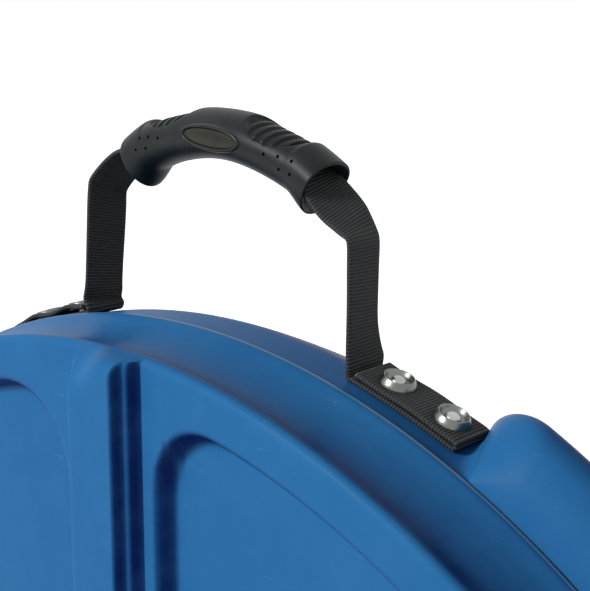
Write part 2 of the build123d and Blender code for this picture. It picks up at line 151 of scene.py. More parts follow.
def sector_angles(columns, radius):
    """The angle of each column of all six sectors at one radius. Near the axis, where columns at fixed
    distances beside the spokes would cross, they close in with the radius."""
    offset, share = columns[:, 0], columns[:, 1]
    beside = np.arcsin(offset / max(radius, 2.3 * np.abs(offset).max()))
    half_sector = np.sign(offset) * SECTOR / 2
    angle = beside + (half_sector - beside) * share
    turns = np.arange(6) * SECTOR
    every = (turns[:, None] + angle[None, :]).ravel()
    return np.append(every, every[0] + 6 * SECTOR)


def softened(points, times):
    """A line through few points, with its corners cut this many times, so that it runs smoothly."""
    for _ in range(times):
        near = points[:-1] * 0.75 + points[1:] * 0.25
        far = points[:-1] * 0.25 + points[1:] * 0.75
        middle = np.stack([near, far], axis=1).reshape(-1, points.shape[1])
        points = np.vstack([points[:1], middle, points[-1:]])
    return points


def shoulder():
    """The end of a bumper seen from the front, as distances along the edge from the end of the bay and
    heights above it: a small hollow foot, then a wide round top."""
    foot_turn = np.radians(np.arange(0, 91, 15))
    top_turn = np.radians(np.arange(0, 91, 5))
    foot = np.stack([BAY_FILLET * (np.sin(foot_turn) - 1), BAY_FILLET * (1 - np.cos(foot_turn))], axis=1)
    low = BUMPER_RISE - SHOULDER_ROUND
    top = np.stack([SHOULDER_ROUND * (1 - np.cos(top_turn)), low + SHOULDER_ROUND * np.sin(top_turn)], axis=1)
    return np.vstack([foot, top])


def beyond_bays(angle):
    """How far along the edge an angle lies outside the nearest bay, negative inside it."""
    distances = []
    for start, end in BAYS:
        turn = angle - math.radians(start + end) / 2
        distances.append(abs((turn + math.pi) % (2 * math.pi) - math.pi) - math.radians(end - start) / 2)
    return BAY_RADIUS * min(distances)


def edge_columns():
    """The angle of each column of the edge, and how far it has risen from bay (0) to bumper (1)."""
    columns = []
    for start, end in BAYS:
        for edge, way in ((start, -1), (end, 1)):
            for along, height in shoulder():
                columns.append((math.radians(edge) + way * along / BAY_RADIUS, height / BUMPER_RISE))
    land_ends = [np.arange(start, end, 0.2) for start, end in LAND_END_ANGLES]
    for angle in np.radians(np.concatenate([np.arange(0, 360, 1.25)] + land_ends)):
        # Columns nearer to the end of a bay than this would crowd those of its shoulder
        beyond = beyond_bays(angle)
        if beyond < -1.4 * BAY_FILLET:
            columns.append((angle, 0.0))
        if beyond > 1.05 * SHOULDER_ROUND:
            columns.append((angle, 1.0))
    turned = sorted((angle % (2 * math.pi), risen) for angle, risen in columns)
    turned.append((turned[0][0] + 2 * math.pi, turned[0][1]))
    return np.array(turned)


# Each row of the edge gives its radius and depth in a bay, then on a bumper: first the inside and the
# tongue that enters the lid, then the outside, from the seam over the edge to the flat of the back
EDGE_INSIDE = [
    (0.0, 0.0585, 0.0, 0.0585), (0.246, 0.0585, 0.246, 0.0585),
    (0.252, 0.0655, 0.252, 0.0620), (0.258, 0.0640, 0.272, 0.0590),
    (0.2745, 0.0485, 0.290, 0.0420), (0.2965, 0.0022, 0.3165, 0.0040),
    (0.2965, -0.0120, 0.3150, -0.0080), (0.2963, -0.0148, 0.3030, -0.0148),
    (0.2936, -0.0150, 0.2936, -0.0150), (0.2935, -0.0275, 0.2935, -0.0275),
    (0.2943, -0.0284, 0.2943, -0.0284), (0.2972, -0.0284, 0.2972, -0.0284),
    (0.2980, -0.0276, 0.2980, -0.0276), (0.2980, -0.0200, 0.2980, -0.0200),
    (0.2984, -0.0194, 0.2984, -0.0194),
]
EDGE_OUTSIDE = [
    (0.2998, -0.0194, 0.3005, -0.0194), (0.3010, -0.0194, 0.3030, -0.0193),
    (0.3010, -0.0180, 0.3100, -0.0178), (0.3010, -0.0100, 0.3165, -0.0145),
    (0.3010, -0.0030, 0.3233, -0.0085), (0.3010, 0.0030, 0.3257, -0.0020),
    (0.2990, 0.0090, 0.3249, 0.0045), (0.2945, 0.0195, 0.3150, 0.0165),
    (0.2875, 0.0340, 0.3060, 0.0305), (0.2790, 0.0500, 0.2975, 0.0430),
    (0.2730, 0.0580, 0.2880, 0.0555), (0.2665, 0.0645, 0.2790, 0.0635),
    (0.2610, 0.0690, 0.2680, 0.0688), (0.2565, 0.0710, 0.2590, 0.0710),
    (BACK_SEAM_RADIUS, BACK_Y, BACK_SEAM_RADIUS, BACK_Y),
]


def with_land(radius, angle, y, front, back):
    """The radius raised to the upright flat that the hinges are riveted to, on the left, between two
    depths, with soft ends."""
    flat = HINGE_LAND_X / np.maximum(-np.sin(angle), 0.5)
    along = np.abs(flat * np.cos(angle))
    soft = 0.004
    held = ease((HINGE_LAND_HALF - along) / soft) * ease((y - front) / soft) * ease((back - y) / soft)
    held = np.where(np.sin(angle) < -0.7, held, 0.0)
    return radius + held * np.maximum(flat - radius, 0.0)


def slanted(angle, y):
    """The angle moved where the bay under the handle ends, so that its ends slant: they lie further
    apart in front than behind."""
    degrees = np.degrees((angle + math.pi) % (2 * math.pi) - math.pi)
    left, right = [np.exp(-(((degrees - end) / BAY_SLANT_SPREAD) ** 2)) for end in BAY_SLANT_ENDS]
    lean = np.clip(BAY_SLANT_MIDDLE - y, *BAY_SLANT_REACH)
    return angle + math.radians(BAY_SLANT) * lean * (right - left)


def rear_edge():
    """The bays and bumpers, from inside the tongue, over the edge and on to the flat of the back."""
    columns = edge_columns()
    angle, risen = columns[:, 0], columns[:, 1]
    slants_beyond = 0.27
    rows = []
    for number, row in enumerate([*EDGE_INSIDE, *softened(np.array(EDGE_OUTSIDE), 2)]):
        bay_radius, bay_y, bumper_radius, bumper_y = row
        radius = bay_radius + (bumper_radius - bay_radius) * risen
        y = bay_y + (bumper_y - bay_y) * risen
        moved = slanted(angle, y) if bay_radius > slants_beyond else angle
        if number >= len(EDGE_INSIDE):
            radius = with_land(radius, angle, y, *REAR_LAND_DEPTHS)
        rows.append(ring_place(radius, moved, y))
    return skin("rear_shell_moulding", np.array(rows))


def rear_back():
    """The flat of the back, with its six sunk panels, as far as the circle where the edge begins."""
    offsets = np.concatenate([[0, 0.010, 0.018], np.arange(0.0215, 0.0325, 0.0011), [0.035]])
    columns = sector_columns(offsets, 24)
    spread = [0.0, 0.03, 0.06, 0.08, 0.084]
    reaches = np.concatenate([spread, np.arange(0.0865, 0.102, 0.0013), np.arange(0.105, 0.190, 0.009)])
    reaches = np.concatenate([reaches, np.arange(0.192, 0.226, 0.003), np.arange(0.228, 0.243, 0.0013)])
    reaches = np.append(reaches, [0.245, BACK_SEAM_RADIUS - 0.001])
    rows = []
    for reach in reaches:
        angle = sector_angles(columns, reach)
        beside = reach * np.sin((angle + SECTOR / 2) % SECTOR - SECTOR / 2)
        outside = panel_outside(beside, reach, BACK_PANEL_RADIUS, -1)
        y = BACK_Y - PANEL_DEPTH * ease(-outside / PANEL_WALL)
        rows.append(ring_place(reach, angle, y))
    return skin("rear_back_face", np.array(rows))


def join_pieces(pieces):
    """Several meshes made one object, under the first one's name."""
    deselect_all()
    for piece in pieces:
        piece.select_set(True)
    bpy.context.view_layer.objects.active = pieces[0]
    bpy.ops.object.join()
    return pieces[0]


rear_moulding = join_pieces([rear_edge(), rear_back()])
bpy.ops.object.mode_set(mode="EDIT")
bpy.ops.mesh.select_all(action="DESELECT")
bpy.ops.mesh.select_mode(type="EDGE")
bpy.ops.mesh.select_non_manifold(extend=False, use_wire=False, use_boundary=True, use_multi_face=False)
bpy.ops.mesh.fill()
bpy.ops.mesh.select_all(action="SELECT")
bpy.ops.mesh.normals_make_consistent(inside=False)
bpy.ops.object.mode_set(mode="OBJECT")
bpy.ops.object.shade_smooth_by_angle(angle=math.radians(50))


def give(target, value):
    """Links a pattern to a node's socket, or sets a plain value on it."""
    if isinstance(value, Socket):
        value.tree.links.new(value.output, target)
    else:
        target.default_value = value


class Socket:
    """One socket of a finish. Sums and products of sockets add their Math nodes."""

    def __init__(self, tree, output):
        self.tree = tree
        self.output = output

    def node(self, kind, settings, inputs, output=0):
        """Any other node: its type, its settings, and the values or links of its sockets."""
        made = self.tree.nodes.new("ShaderNode" + kind)
        for name, value in settings.items():
            setattr(made, name, value)
        for name, value in inputs.items():
            open_sockets = [s for s in made.inputs if s.enabled]
            named = [s for s in open_sockets if s.name == name]
            give(open_sockets[name] if isinstance(name, int) else named[0], value)
        open_outputs = [s for s in made.outputs if s.enabled]
        return Socket(self.tree, open_outputs[output])

    def math(self, operation, *values):
        return self.node("Math", {"operation": operation}, dict(enumerate(values)))

    def vector(self, operation, *values):
        return self.node("VectorMath", {"operation": operation}, dict(enumerate(values)))

    def __add__(self, other):
        return self.math("ADD", self, other)

    def __radd__(self, other):
        return self.math("ADD", other, self)

    def __sub__(self, other):
        return self.math("SUBTRACT", self, other)

    def __rsub__(self, other):
        return self.math("SUBTRACT", other, self)

    def __mul__(self, other):
        return self.math("MULTIPLY", self, other)

    def __rmul__(self, other):
        return self.math("MULTIPLY", other, self)

    def __gt__(self, other):
        return self.math("GREATER_THAN", self, other)

    def between(self, low, high):
        """0 below low and 1 above high, or the other way about, with a smooth S between them."""
        limits = {"Value": self, "From Min": low, "From Max": high}
        return self.node("MapRange", {"interpolation_type": "SMOOTHSTEP"}, limits)

    def part(self, axis):
        """One coordinate of a place: X, Y or Z."""
        return self.node("SeparateXYZ", {}, {"Vector": self}, "XYZ".index(axis))

    def wave(self, pitch, turned=0.0):
        """A sine from -1 to 1 that repeats at this pitch."""
        return self.math("SINE", self * (2 * math.pi / pitch) + turned)

    def noise(self, scale, detail=3.0, roughness=0.5, stretch=(1, 1, 1)):
        """Noise with this many grains to the metre, on coordinates stretched by these amounts."""
        place = self.node("Mapping", {}, {"Vector": self, "Scale": stretch})
        settings = {"Vector": place, "Scale": scale, "Detail": detail, "Roughness": roughness}
        return self.node("TexNoise", {"noise_dimensions": "3D"}, settings)

    def shade(self, low, high):
        """A colour between two, by this value."""
        return self.node("Mix", {"data_type": "RGBA"}, {"Factor": self, "A": low, "B": high})

    def over(self, under, colour):
        """A colour laid over another where this value is 1."""
        return self.node("Mix", {"data_type": "RGBA"}, {"Factor": self, "A": under, "B": colour})


def new_finish(name, coordinates="Object"):
    """A material, its shader, and the coordinates that its patterns follow."""
    material = bpy.data.materials.new(name)
    material.use_nodes = True
    shader = material.node_tree.nodes["Principled BSDF"]
    place = material.node_tree.nodes.new("ShaderNodeTexCoord")
    return material, shader, Socket(material.node_tree, place.outputs[coordinates])


def feed(shader, **sockets):
    """Links patterns to the shader's sockets, or sets plain values on them."""
    for name, value in sockets.items():
        give(shader.inputs[name.replace("_", " ")], value)


def bumped(height, distance, strength=1.0):
    """A normal from a height pattern, whose full height is this distance."""
    return height.node("Bump", {}, {"Height": height, "Distance": distance, "Strength": strength})


def moulded_blue():
    """Rotomoulded polyethylene: a soft gloss over faint orange peel, clouded, with fine scuffs, its blue
    painted paler where it faces the lamp and deeper where it turns away, and a painted highlight along its
    lip."""
    material, shader, place = new_finish("moulded_blue")
    towards = Socket(place.tree, place.output.node.outputs["Normal"])
    # Painted light and shade: surfaces turned towards the lamp are painted paler blue, those turned away
    # deeper blue.
    painted_light_facing = towards.vector("DOT_PRODUCT", towards, (-0.20, -0.78, 0.59))
    clouds = place.noise(7.0, 4.0, 0.6)
    mottle = place.noise(60.0, 3.0, 0.6)
    grain = place.noise(900.0, 2.0, 0.5)
    scuffs = place.noise(46.0, 5.0, 0.72, (1.0, 1.0, 9.0)).between(0.56, 0.70)
    scrapes = place.noise(120.0, 4.0, 0.8, (0.4, 2.0, 6.0)).between(0.58, 0.72)
    worn = scuffs * scrapes
    blue = painted_light_facing.between(-0.05, 0.92).shade((0.002, 0.008, 0.105, 1), (0.024, 0.155, 0.375, 1))
    blue = (clouds.between(0.3, 0.7) * 0.30).over(blue, (0.010, 0.080, 0.270, 1))
    blue = (mottle.between(0.35, 0.75) * 0.18).over(blue, (0.045, 0.190, 0.420, 1))
    blue = (worn * 0.55).over(blue, (0.28, 0.47, 0.60, 1))
    depth = place.part("Y")
    away = place.vector("SUBTRACT", place, (0.0, 0.0, AXIS_HEIGHT))
    flat = place.vector("MULTIPLY", away, (1.0, 0.0, 1.0))
    radius = place.vector("LENGTH", flat)
    # Painted highlight: a thin pale line along the lip's edge.
    lip_highlight = radius.between(0.3030, 0.3034) * depth.between(-0.0220, -0.0214) * (1 - (depth > -0.0203))
    blue = (lip_highlight * 0.45).over(blue, (0.24, 0.44, 0.58, 1))
    feed(shader, Base_Color=blue, Roughness=0.32 + mottle * 0.14 + worn * 0.2)
    feed(shader, Specular_IOR_Level=0.035, Normal=bumped(mottle * 0.5 + grain * 0.12, 0.0005, 0.5))
    return material


BLUE = moulded_blue()


def dress(piece, material, slot, body, *replaced):
    """Gives a piece its finish, the body it rides on and the nodes it stands for. The slot is not used."""
    piece.data.materials.clear()
    piece.data.materials.append(material)
    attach(piece, body)
    if replaced:
        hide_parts(*replaced)


dress(rear_moulding, BLUE, "shell_plastic", "case", "rear_shell")

# Front shell
# The lid: the same blue moulding, with a hollow band round its edge and a thin lip that meets the rear
# shell. Six raised spokes on a broad ledge run from the hub over the rim, between six sunk panels.
RING_Y = -0.060
SPOKE_SHIFT = 0.0021
LEDGE_RISE = 0.0055
FACE_RISE = 0.0055
LEDGE_FOOT = 0.0172
LEDGE_WALL = 0.0028
FACE_FOOT = 0.0141
FACE_WALL = 0.0028
WIDE_ROLL = 0.020
TIGHT_ROLL = 0.0060
SPOKE_END = 0.3018
TIGHT_END_BACK = 0.0011
SPOKE_BLEND = 0.0016
HUB_DISH = 0.003
HUB_DISH_RADIUS_DROP = 0.020
LID_PANEL_RADIUS = 0.285
LID_LAND_DEPTHS = (-0.0540, -0.0150)
OUTER_FACE_RADIUS = 0.2988

# Each row past the flat ring gives its radius and depth, over the crest, down the band and round the lip
RIM_ROWS = [
    (0.2984, -0.05998), (0.2990, -0.05990), (0.2996, -0.05972), (0.3001, -0.05945),
    (0.3006, -0.05905), (0.3010, -0.05855), (0.3013, -0.05790), (0.3015, -0.05710),
]
BAND_POINTS = [
    (0.3015, -0.0571), (0.3014, -0.0556), (0.3006, -0.0532), (0.2996, -0.0495), (0.2991, -0.0450),
    (0.2992, -0.0400), (0.3000, -0.0340), (0.3014, -0.0280), (0.3034, -0.0230), (0.3035, -0.0222),
]
LIP_ROWS = [
    (0.3035, -0.0222), (0.3036, -0.0214), (0.3035, -0.0203), (0.3032, -0.0199), (0.3026, -0.0198),
    (0.2998, -0.0198), (0.2990, -0.0206), (0.2990, -0.0295), (0.2952, -0.0340), (0.2950, -0.0520),
    (0.2900, -0.0555), (0.2810, -0.0475), (0.2700, -0.0475), (0.0, -0.0475),
]


def spoke_roll(beside, radius):
    """How far back the end of the spoke has rolled at a radius: a wide round on its left side, where it
    melts into the rim, and a tight one on its right."""
    tight = ease((beside + 0.009) / 0.018)
    roll = WIDE_ROLL + (TIGHT_ROLL - WIDE_ROLL) * tight
    end = SPOKE_END - TIGHT_END_BACK * tight
    share = np.clip((radius - end) / roll + 1, 0.0, 1.0)
    return roll * (1 - np.sqrt(1 - share * share)) + 20 * np.maximum(radius - end, 0.0)


def spoke_rise(beside, reach, radius, y):
    """How far the spoke, its ledge and the hub stand in front of the ring."""
    from_middle = np.abs(beside - SPOKE_SHIFT)
    height = 0.0
    for foot, wall, rise in [(FACE_FOOT, FACE_WALL, FACE_RISE), (LEDGE_FOOT, LEDGE_WALL, LEDGE_RISE)]:
        hub = ease((HUB_RADIUS + foot - LEDGE_FOOT - reach) / wall)
        height = height + rise * np.maximum(ease((foot - from_middle) / wall), hub)
    room = np.maximum(y - RING_Y + FACE_RISE + LEDGE_RISE - spoke_roll(beside, radius), 0.0)
    near = np.maximum(SPOKE_BLEND - np.abs(height - room), 0.0) * (np.minimum(height, room) > 0)
    least = np.minimum(height, room) - near * near / (4 * SPOKE_BLEND)
    dish = HUB_DISH * ease((HUB_RADIUS - HUB_DISH_RADIUS_DROP - reach) / 0.002)
    return np.maximum(least, 0.0) - dish


def lid_moulding():
    """The whole lid as one closed skin, from the hub outwards, over the rim and back inside."""
    beside_spoke = [np.linspace(0, 0.009, 5), np.arange(0.0096, 0.0200, 0.0006)]
    offsets = np.concatenate(beside_spoke + [np.arange(0.0209, 0.0305, 0.0010), [0.0325]])
    columns = sector_columns(offsets, 38)
    reaches = [[0.0, 0.030, 0.0570], np.arange(0.0575, 0.0615, 0.0010), [0.068, 0.0715]]
    reaches += [np.arange(0.0725, 0.0815, 0.0010), [0.084], np.arange(0.0875, 0.1010, 0.0015)]
    reaches += [np.arange(0.104, 0.232, 0.010), np.arange(0.236, 0.262, 0.0040)]
    reaches += [np.arange(0.264, 0.2978, 0.0014)]
    profile = [(reach, reach, RING_Y) for reach in np.concatenate(reaches)]
    reach = profile[-1][0]
    band = [tuple(point) for point in softened(np.array(BAND_POINTS), 1)[1:-1]]
    for radius, y in RIM_ROWS + band + LIP_ROWS:
        reach = reach + math.hypot(radius - profile[-1][1], y - profile[-1][2])
        profile.append((reach, radius, y))
    front_rows = len(profile) - len(band) - len(LIP_ROWS)
    rows = []
    for number, (reach, radius, y) in enumerate(profile):
        angle = sector_angles(columns, radius)
        if number < front_rows:
            beside = radius * np.sin((angle + SECTOR / 2) % SECTOR - SECTOR / 2)
            outside = panel_outside(beside, reach, LID_PANEL_RADIUS, 1)
            y = y + PANEL_DEPTH * ease(-outside / PANEL_WALL) - spoke_rise(beside, reach, radius, y)
        elif radius > OUTER_FACE_RADIUS:
            radius = with_land(radius, angle, y, *LID_LAND_DEPTHS)
        rows.append(ring_place(radius, angle, y))
    return skin("front_shell_moulding", np.array(rows))


lid = lid_moulding()
dress(lid, BLUE, "shell_plastic", "lid", "front_shell")

# Standing feet
# Two broad blocks moulded with the rear shell, which the closed case stands on, each with a rubber pad
# under it. Their fronts are hollowed so that the lid swings clear.
FOOT_MIDDLE_X = 0.120
FOOT_WIDTH = 0.060
FOOT_DEPTH = 0.112
FOOT_BASE = 0.004
STAND_TOP = 0.076
FOOT_CORNER = 0.014
FOOT_EDGE = 0.0025
LID_CLEARANCE = [
    (0.0, -0.075), (0.3065, -0.075), (0.3065, -0.0192), (0.2990, -0.0192),
    (0.2990, 0.0030), (0.2800, 0.0520), (0.2740, 0.0600), (0.0, 0.0640),
]


def open_on_edges(piece, wanted):
    """Opens a piece in edit mode with only those edges selected whose two ends pass a test."""
    bpy.ops.object.mode_set(mode="EDIT")
    bpy.ops.mesh.select_mode(type="EDGE")
    bpy.ops.mesh.select_all(action="DESELECT")
    bpy.ops.object.mode_set(mode="OBJECT")
    for edge in piece.data.edges:
        first, second = (piece.data.vertices[number].co for number in edge.vertices)
        edge.select = wanted(first, second)
    bpy.ops.object.mode_set(mode="EDIT")


def cut_away(piece, cutter):
    """Takes the cutter's shape out of a piece, and removes the cutter."""
    modifier = piece.modifiers.new("cut", "BOOLEAN")
    modifier.operation = "DIFFERENCE"
    modifier.solver = "EXACT"
    modifier.object = cutter
    deselect_all()
    bpy.context.view_layer.objects.active = piece
    piece.select_set(True)
    bpy.ops.object.modifier_apply(modifier="cut")
    bpy.data.objects.remove(cutter)


def standing_foot(name, side):
    """A block with round corners, cut back to the wall of the rear shell and clear of the lid."""
    deselect_all()
    middle = (side * FOOT_MIDDLE_X, 0, (FOOT_BASE + STAND_TOP) / 2)
    size = (FOOT_WIDTH, FOOT_DEPTH, STAND_TOP - FOOT_BASE)
    bpy.ops.mesh.primitive_cube_add(size=1, location=middle, scale=size)
    piece = bpy.context.object
    piece.name = name
    bpy.ops.object.transform_apply()
    open_on_edges(piece, lambda a, b: abs(a.z - b.z) > 0.01)
    bpy.ops.mesh.bevel(offset=FOOT_CORNER, segments=8, affect="EDGES")
    bpy.ops.object.mode_set(mode="OBJECT")
    open_on_edges(piece, lambda a, b: max(a.z, b.z) < FOOT_BASE + 0.0001)
    bpy.ops.mesh.bevel(offset=FOOT_EDGE, segments=4, affect="EDGES")
    bpy.ops.object.mode_set(mode="OBJECT")
    angles = np.linspace(0, 2 * math.pi, 241)
    cutter = skin("shell_space", np.array([ring_place(radius, angles, y) for radius, y in LID_CLEARANCE]))
    cut_away(piece, cutter)
    bpy.ops.object.shade_smooth_by_angle(angle=math.radians(35))
    return piece


for side, side_name in ((-1, "left"), (1, "right")):
    foot = standing_foot("standing_foot_" + side_name, side)
    dress(foot, BLUE, "shell_plastic", "case", "rear_shell")


def refinish(material, *nodes):
    """Gives a finish to construction pieces whose own shape shows."""
    for name in nodes:
        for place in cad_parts[name].material_slots:
            place.material = material


def pad_rubber():
    """Black rubber, matt and lightly dusted."""
    material, shader, place = new_finish("pad_rubber")
    dust = place.noise(90.0, 4.0, 0.7)
    pits = place.noise(700.0, 2.0, 0.6)
    feed(shader, Base_Color=dust.between(0.4, 0.8).shade((0.012, 0.012, 0.013, 1), (0.05, 0.05, 0.048, 1)))
    feed(shader, Roughness=0.7 + dust * 0.2, Normal=bumped(pits, 0.0003, 0.6))
    return material


refinish(pad_rubber(), "standing_pads")

# Foam
# A sheet of grey foam glued into each shell keeps the cymbals off the plastic. The rear one has a hole
# for the flange of the post. The cut edges are soft.
FOAM_EDGE = 0.0015


def foam_pad(name, inner, outer, front, back):
    """A flat ring of foam, or a disc where the inner radius is 0, with soft edges."""
    e = FOAM_EDGE
    face = np.linspace(inner + e, outer - e, 14)[1:-1]
    outline = [(inner + e, front)] + [(radius, front) for radius in face] + [(outer - e, front)]
    outline += [(outer - 0.3 * e, front + 0.3 * e), (outer, front + e)]
    outline += [(outer, back - e), (outer - 0.3 * e, back - 0.3 * e), (outer - e, back)]
    outline += [(radius, back) for radius in face[::-1]] + [(inner + e, back)]
    if inner > 0:
        outline += [(inner + 0.3 * e, back - 0.3 * e), (inner, back - e)]
        outline += [(inner, front + e), (inner + 0.3 * e, front + 0.3 * e), (inner + e, front)]
    else:
        outline = [(0.0, front)] + outline[1:-1] + [(0.0, back)]
    angles = np.linspace(0, 2 * math.pi, 181)
    return skin(name, np.array([ring_place(radius, angles, y) for radius, y in outline]), 60.0)


def grey_foam():
    """Open-celled polyurethane foam: dark grey, matt, full of small pores, with painted shade in them."""
    material, shader, place = new_finish("grey_foam")
    cells = place.node("TexVoronoi", {"feature": "F1"}, {"Vector": place, "Scale": 420.0})
    cloud = place.noise(16.0, 3.0, 0.6)
    pore_and_shade = cells.between(0.25, 0.7)
    # Painted shade: the foam's grey is darker down in its pores.
    grey = pore_and_shade.shade((0.030, 0.031, 0.034, 1), (0.085, 0.087, 0.092, 1))
    grey = (cloud.between(0.4, 0.75) * 0.3).over(grey, (0.12, 0.12, 0.125, 1))
    feed(shader, Base_Color=grey, Roughness=0.92, Normal=bumped(pore_and_shade, 0.0008, 0.7))
    return material


FOAM = grey_foam()
rear_foam = foam_pad("rear_foam_sheet", 0.034, 0.264, 0.0505, 0.0584)
dress(rear_foam, FOAM, "foam", "case", "rear_foam_pad")
front_foam = foam_pad("front_foam_sheet", 0.0, 0.278, -0.0474, -0.0375)
dress(front_foam, FOAM, "foam", "lid", "front_foam_pad")

# Cymbal post, latches, hinges and plates
# A bright zinc flange, stud and wing nut, a soft sleeve and a felt-faced washer hold the cymbals. Latch
# levers are black nylon on plated steel, and the hinges are plated steel, riveted to the shells.


def plated_steel(name, tone, roughness):
    """Steel with a thin plating: brushed lightly, a little cloudy, dull where it is handled."""
    material, shader, place = new_finish(name)
    brushed = place.noise(260.0, 3.0, 0.7, (1.0, 1.0, 14.0))
    cloud = place.noise(35.0, 4.0, 0.6)
    dark = tuple(0.62 * value for value in tone) + (1,)
    feed(shader, Base_Color=cloud.between(0.3, 0.75).shade(dark, tone + (1,)), Metallic=1.0)
    feed(shader, Roughness=roughness + cloud * 0.16 + brushed * 0.08, Normal=bumped(brushed, 0.0002, 0.25))
    return material


def black_nylon():
    """Moulded black nylon with a fine spark-eroded grain."""
    material, shader, place = new_finish("black_nylon")
    grain = place.noise(1100.0, 3.0, 0.6)
    rubbed = place.noise(50.0, 4.0, 0.7)
    black = rubbed.between(0.5, 0.8).shade((0.012, 0.012, 0.014, 1), (0.035, 0.035, 0.037, 1))
    feed(shader, Base_Color=black, Roughness=0.42 + rubbed * 0.15, Normal=bumped(grain, 0.0003, 0.5))
    return material


def soft_sleeve():
    """Clear nylon tube over the stud, gone slightly yellow."""
    material, shader, place = new_finish("soft_sleeve")
    cloud = place.noise(60.0, 3.0, 0.5)
    yellowed = cloud.shade((0.50, 0.49, 0.44, 1), (0.62, 0.61, 0.57, 1))
    feed(shader, Base_Color=yellowed, Roughness=0.35 + cloud * 0.15)
    return material


ZINC = plated_steel("zinc_plate", (0.56, 0.57, 0.58), 0.26)
refinish(ZINC, "post_flange", "post_stud", "post_screws", "strap_nuts", "backing_plates", "clamp_washer")
refinish(ZINC, "wing_nut", "latch_brackets", "latch_pins", "latch_keepers", "bracket_rivets", "keeper_rivets")
refinish(ZINC, "hinge_leaves_rear", "hinge_leaves_front", "hinge_pins")
refinish(ZINC, "hinge_rivets_rear", "hinge_rivets_front")
refinish(black_nylon(), "latch_lever_upper", "latch_lever_middle", "latch_lever_lower")
refinish(soft_sleeve(), "post_sleeve")

# Webbing
# One length of black ribbed nylon webbing on each side of the grip. It comes out of the grip, hangs to
# the shell, runs out along it, folds back over itself and ends beside its own upright, screwed down.
STRAP_HALF = 0.010
STRAP_THICK = 0.0019
RIB_PITCH = 0.00127
RIB_STEPS = 6
RIB_RISE = 0.00016
LOWER_LAYER = 0.30205
UPPER_LAYER = 0.30430
LAYER_SPLIT = 0.3035
SCREW_ANGLES = [16.6, 21.3]
ARCH_RADIUS = 0.1095
ARCH_CENTRE = 0.5959


def strap_route(side, upper_part, tip):
    """The line of one side's webbing, as x, z, the turn of its width about the vertical in degrees and
    the lift of its front edge: first the given part, then the foot, out below and back above. The upper
    layer lies loose between the screws, and on the left its front edge stands up beside them."""
    route = list(upper_part)
    below = [(LOWER_LAYER + 0.0002, 14.15)] + [(LOWER_LAYER, angle) for angle in np.arange(14.7, tip, 0.9)]
    fold = [(LOWER_LAYER, tip), (LOWER_LAYER + 0.0003, tip + 0.25), (UPPER_LAYER - 0.0003, tip + 0.25)]
    above = [(UPPER_LAYER, angle) for angle in np.arange(tip, 14.3, -0.45)]
    for radius, angle in below + fold + above:
        pressed = sum(math.exp(-(((angle - screw) / 1.3) ** 2)) for screw in SCREW_ANGLES)
        loose = 0.00035 * (1 - pressed) + 0.0004 * math.exp(-(((angle - 14.4) / 0.5) ** 2))
        upper = radius > LAYER_SPLIT
        curled = pressed if side < 0 and upper else 0.0
        reach = radius + (loose if upper else 0.0) + 0.0006 * curled
        a = math.radians(angle)
        route.append((side * reach * math.sin(a), AXIS_HEIGHT + reach * math.cos(a), 0.0, 0.15 * curled))
    return np.array(route)


def strap_section():
    """The webbing's section: places across it, and through it where 1 is one face and -1 the other."""
    half_thick = STRAP_THICK / 2
    flat = np.linspace(half_thick - STRAP_HALF, STRAP_HALF - half_thick, 13)
    bend = np.radians([60, 30, 0, -30, -60])
    right = np.stack([STRAP_HALF - half_thick + half_thick * np.cos(bend), np.sin(bend)], axis=1)
    top = np.stack([flat, np.ones(13)], axis=1)
    loop = np.vstack([top, right, -top, -right])
    return np.vstack([loop, loop[:1]])


def measured_pattern(piece, across, along):
    """Lays the piece's UV map out in metres, from the places of its columns and rows."""
    layer = piece.data.uv_layers[0].data
    flat = np.zeros(len(layer) * 2)
    layer.foreach_get("uv", flat)
    column, row = np.rint(flat.reshape(-1, 2) * (len(across) - 1, len(along) - 1)).astype(int).T
    layer.foreach_set("uv", np.stack([across[column], along[row]], axis=1).ravel())


def unit(vectors):
    """The same directions, each of length 1."""
    return vectors / np.linalg.norm(vectors, axis=1, keepdims=True)


def strap(name, side, upper_part, tip):
    """One side's webbing as a closed ribbed band along its route."""
    soft = softened(strap_route(side, upper_part, tip), 3)
    run = np.concatenate([[0], np.cumsum(np.hypot(*np.diff(soft[:, :2], axis=0).T))])
    along = np.arange(int(run[-1] * RIB_STEPS / RIB_PITCH) + 1) * RIB_PITCH / RIB_STEPS
    x, z, turn, lift = (np.interp(along, run, soft[:, number]) for number in range(4))
    middle = np.stack([x, 0 * x, z], axis=1)
    forward = unit(np.gradient(middle, axis=0))
    turn = np.radians(turn)
    width = unit(np.stack([side * np.sin(turn), -np.cos(turn), lift], axis=1))
    through = unit(np.cross(forward, width))
    rib = RIB_RISE * np.cos(2 * math.pi * along / RIB_PITCH)
    section = strap_section()
    flat_part = np.abs(section[:, 1]) > 0.99
    rows = []
    for point, w, t, r in zip(middle, width, through, rib):
        depth = section[:, 1] * (STRAP_THICK / 2 + r * flat_part)
        reach = section[:, 0] * (1 + 0.3 * r / STRAP_HALF)
        rows.append(point + reach[:, None] * w + depth[:, None] * t)
    ends = [np.broadcast_to(middle[number], rows[0].shape) for number in (0, -1)]
    piece = skin(name, np.array([ends[0]] + rows + [ends[1]]), 80.0)
    steps = np.hypot(*(np.diff(section * (1, STRAP_THICK / 2), axis=0)).T)
    across = np.concatenate([[0], np.cumsum(steps)])
    measured_pattern(piece, across, np.concatenate([along[:1], along, along[-1:]]))
    return piece, float(along[-1])


